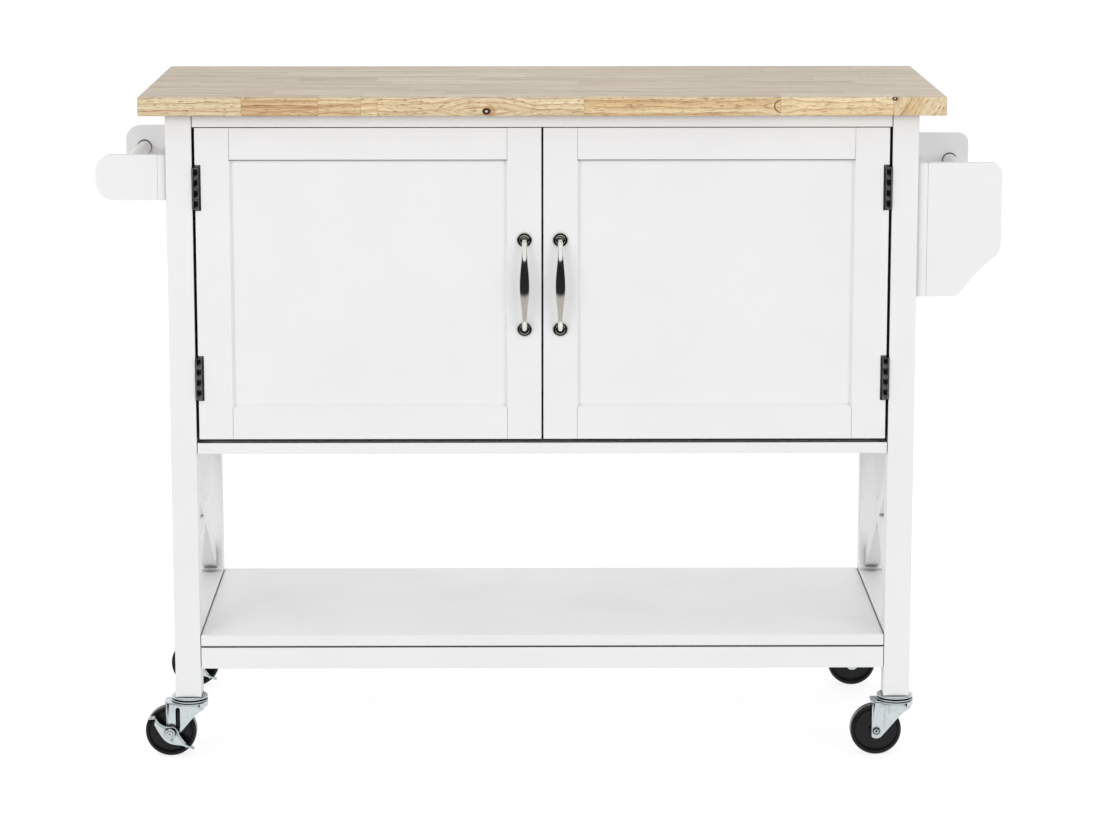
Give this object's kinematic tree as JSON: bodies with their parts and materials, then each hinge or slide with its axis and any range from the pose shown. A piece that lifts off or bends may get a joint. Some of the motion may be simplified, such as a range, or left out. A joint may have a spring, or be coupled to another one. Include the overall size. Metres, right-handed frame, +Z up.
{
  "type": "kitchen cart",
  "caption": "Rolling kitchen cart with a wooden worktop, white two-door cabinet, open low shelf, towel rail, spice rack and locking casters.",
  "frame": {"origin": "on the floor under the middle of the cart's bounding box", "axes": "+X along the cart's length towards the spice rack, +Y from the doors to the back, +Z up"},
  "size_m": [1.211, 0.46, 0.91],
  "materials": {
    "worktop_wood": "clear satin lacquer on finger-jointed rubberwood",
    "white_paint": "smooth white satin paint",
    "polished_nickel": "polished nickel",
    "hinge_steel": "smooth dark-plated steel",
    "zinc_steel": "bright zinc-plated pressed steel",
    "bright_steel": "plain steel",
    "screw_steel": "dark zinc",
    "wheel_rubber": "semi-gloss black",
    "catch_plastic": "matte white"
  },
  "bodies": {
    "frame": {"back_panel": "white_paint", "cabinet_floor": "white_paint", "caster_stems": "zinc_steel", "cross_brace_left": "white_paint", "cross_brace_right": "white_paint", "door_catches": "catch_plastic", "frame_hinge_leaves": "hinge_steel", "frame_screws": "screw_steel", "hinge_pins": "hinge_steel", "inner_shelf": "white_paint", "leg_front_left": "white_paint", "leg_front_right": "white_paint", "leg_rear_left": "white_paint", "leg_rear_right": "white_paint", "low_rail_front": "white_paint", "low_rail_rear": "white_paint", "low_shelf": "white_paint", "low_side_rails": "white_paint", "rack_board": "white_paint", "rack_end_front": "white_paint", "rack_end_rear": "white_paint", "rack_floor": "white_paint", "rack_rod": "white_paint", "shelf_pins": "bright_steel", "side_panels": "white_paint", "top_rails": "white_paint", "towel_board": "white_paint", "towel_brackets": "white_paint", "towel_rod": "white_paint", "worktop": "worktop_wood"},
    "left_door": {"left_door_handle": "polished_nickel", "left_door_hinge_leaves": "hinge_steel", "left_door_hinge_stile": "white_paint", "left_door_meeting_stile": "white_paint", "left_door_panel": "white_paint", "left_door_rails": "white_paint", "left_door_screws": "screw_steel", "left_door_strike": "bright_steel"},
    "right_door": {"right_door_handle": "polished_nickel", "right_door_hinge_leaves": "hinge_steel", "right_door_hinge_stile": "white_paint", "right_door_meeting_stile": "white_paint", "right_door_panel": "white_paint", "right_door_rails": "white_paint", "right_door_screws": "screw_steel", "right_door_strike": "bright_steel"},
    "swivel_front_left": {"caster_fork_front_left": "zinc_steel", "caster_axle_front_left": "zinc_steel"},
    "wheel_front_left": {"caster_wheel_front_left": "wheel_rubber"},
    "pedal_front_left": {"brake_pedal_front_left": "zinc_steel"},
    "swivel_front_right": {"caster_fork_front_right": "zinc_steel", "caster_axle_front_right": "zinc_steel"},
    "wheel_front_right": {"caster_wheel_front_right": "wheel_rubber"},
    "swivel_rear_left": {"caster_fork_rear_left": "zinc_steel", "caster_axle_rear_left": "zinc_steel"},
    "wheel_rear_left": {"caster_wheel_rear_left": "wheel_rubber"},
    "pedal_rear_left": {"brake_pedal_rear_left": "zinc_steel"},
    "swivel_rear_right": {"caster_fork_rear_right": "zinc_steel", "caster_axle_rear_right": "zinc_steel"},
    "wheel_rear_right": {"caster_wheel_rear_right": "wheel_rubber"}
  },
  "joints": [
    {"name": "left_door_hinge", "type": "hinge", "parent": "frame", "child": "left_door", "pos_m": [-0.4717, -0.2035, 0.6557], "axis": [0, 0, -1], "range_deg": [0, 170]},
    {"name": "right_door_hinge", "type": "hinge", "parent": "frame", "child": "right_door", "pos_m": [0.4527, -0.2035, 0.6557], "axis": [0, 0, 1], "range_deg": [0, 170]},
    {"name": "swivel_turn_front_left", "type": "hinge", "parent": "frame", "child": "swivel_front_left", "pos_m": [-0.494, -0.185, 0.0797], "axis": [0, 0, 1], "continuous": true},
    {"name": "wheel_spin_front_left", "type": "hinge", "parent": "swivel_front_left", "child": "wheel_front_left", "pos_m": [-0.52, -0.185, 0.035], "axis": [0, 1, 0], "continuous": true},
    {"name": "pedal_press_front_left", "type": "hinge", "parent": "swivel_front_left", "child": "pedal_front_left", "pos_m": [-0.52, -0.185, 0.035], "axis": [0, -1, 0], "range_deg": [0, 25]},
    {"name": "swivel_turn_front_right", "type": "hinge", "parent": "frame", "child": "swivel_front_right", "pos_m": [0.475, -0.185, 0.0797], "axis": [0, 0, 1], "continuous": true},
    {"name": "wheel_spin_front_right", "type": "hinge", "parent": "swivel_front_right", "child": "wheel_front_right", "pos_m": [0.449, -0.185, 0.035], "axis": [0, 1, 0], "continuous": true},
    {"name": "swivel_turn_rear_left", "type": "hinge", "parent": "frame", "child": "swivel_rear_left", "pos_m": [-0.494, 0.185, 0.0797], "axis": [0, 0, 1], "continuous": true},
    {"name": "wheel_spin_rear_left", "type": "hinge", "parent": "swivel_rear_left", "child": "wheel_rear_left", "pos_m": [-0.52, 0.185, 0.035], "axis": [0, 1, 0], "continuous": true},
    {"name": "pedal_press_rear_left", "type": "hinge", "parent": "swivel_rear_left", "child": "pedal_rear_left", "pos_m": [-0.52, 0.185, 0.035], "axis": [0, -1, 0], "range_deg": [0, 25]},
    {"name": "swivel_turn_rear_right", "type": "hinge", "parent": "frame", "child": "swivel_rear_right", "pos_m": [0.475, 0.185, 0.0797], "axis": [0, 0, 1], "continuous": true},
    {"name": "wheel_spin_rear_right", "type": "hinge", "parent": "swivel_rear_right", "child": "wheel_rear_right", "pos_m": [0.449, 0.185, 0.035], "axis": [0, 1, 0], "continuous": true}
  ]
}
